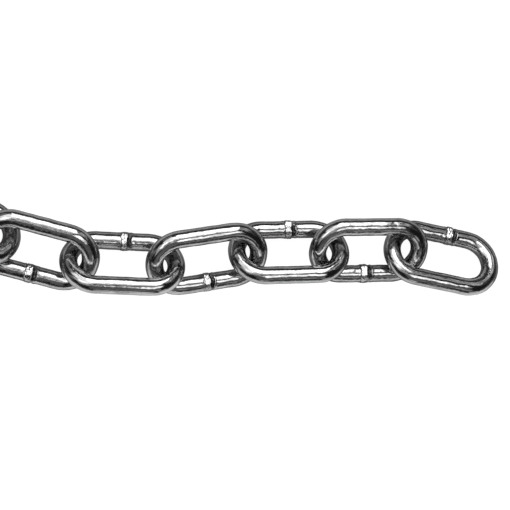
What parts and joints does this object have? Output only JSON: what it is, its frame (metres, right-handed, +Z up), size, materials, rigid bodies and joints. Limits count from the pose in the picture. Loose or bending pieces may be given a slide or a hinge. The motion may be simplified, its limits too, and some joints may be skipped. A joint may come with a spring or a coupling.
{
  "type": "length of steel chain",
  "caption": "Loose length of round-wire welded steel chain, lying in a gentle wave with its links leaning to one side and the other in turn.",
  "frame": {"origin": "on the floor, under the middle of the chain's outline", "axes": "+X along the run of the chain, towards the free end link_01; +Z up"},
  "size_m": [0.2858, 0.057, 0.0162],
  "materials": {
    "zinc_plate": "bright zinc plate, smooth and glossy, with light handling marks and a raised weld bead on each link"
  },
  "bodies": {
    "link_01": {"link_01": "zinc_plate"},
    "link_02": {"link_02": "zinc_plate"},
    "link_03": {"link_03": "zinc_plate"},
    "link_04": {"link_04": "zinc_plate"},
    "link_05": {"link_05": "zinc_plate"},
    "link_06": {"link_06": "zinc_plate"},
    "link_07": {"link_07": "zinc_plate"},
    "link_08": {"link_08": "zinc_plate"},
    "link_09": {"link_09": "zinc_plate"},
    "link_10": {"link_10": "zinc_plate"}
  },
  "joints": [
    {"name": "swing_02_01", "type": "hinge", "parent": "link_02", "child": "link_01", "pos_m": [0.10903, -0.01093, 0.00724], "axis": [0, 0, 1], "range_deg": [-39, 6]},
    {"name": "swing_03_02", "type": "hinge", "parent": "link_03", "child": "link_02", "pos_m": [0.08172, -0.01193, 0.00774], "axis": [0, 0, 1], "range_deg": [-28, 17]},
    {"name": "swing_04_03", "type": "hinge", "parent": "link_04", "child": "link_03", "pos_m": [0.0535, -0.01321, 0.00782], "axis": [0, 0, 1], "range_deg": [-20, 16]},
    {"name": "swing_05_04", "type": "hinge", "parent": "link_05", "child": "link_04", "pos_m": [0.02538, -0.01802, 0.00807], "axis": [0, 0, 1], "range_deg": [-32, 11]},
    {"name": "swing_05_06", "type": "hinge", "parent": "link_05", "child": "link_06", "pos_m": [-0.00323, -0.01732, 0.00795], "axis": [0, 0, 1], "range_deg": [-10, 24]},
    {"name": "swing_06_07", "type": "hinge", "parent": "link_06", "child": "link_07", "pos_m": [-0.03035, -0.01076, 0.00771], "axis": [0, 0, 1], "range_deg": [-10, 56]},
    {"name": "swing_07_08", "type": "hinge", "parent": "link_07", "child": "link_08", "pos_m": [-0.05359, 0.00393, 0.00765], "axis": [0, 0, 1], "range_deg": [-32, 11]},
    {"name": "swing_08_09", "type": "hinge", "parent": "link_08", "child": "link_09", "pos_m": [-0.07987, 0.01376, 0.00775], "axis": [0, 0, 1], "range_deg": [-35, 5]},
    {"name": "swing_09_10", "type": "hinge", "parent": "link_09", "child": "link_10", "pos_m": [-0.10781, 0.01793, 0.00782], "axis": [0, 0, 1], "range_deg": [-31, 9]}
  ]
}
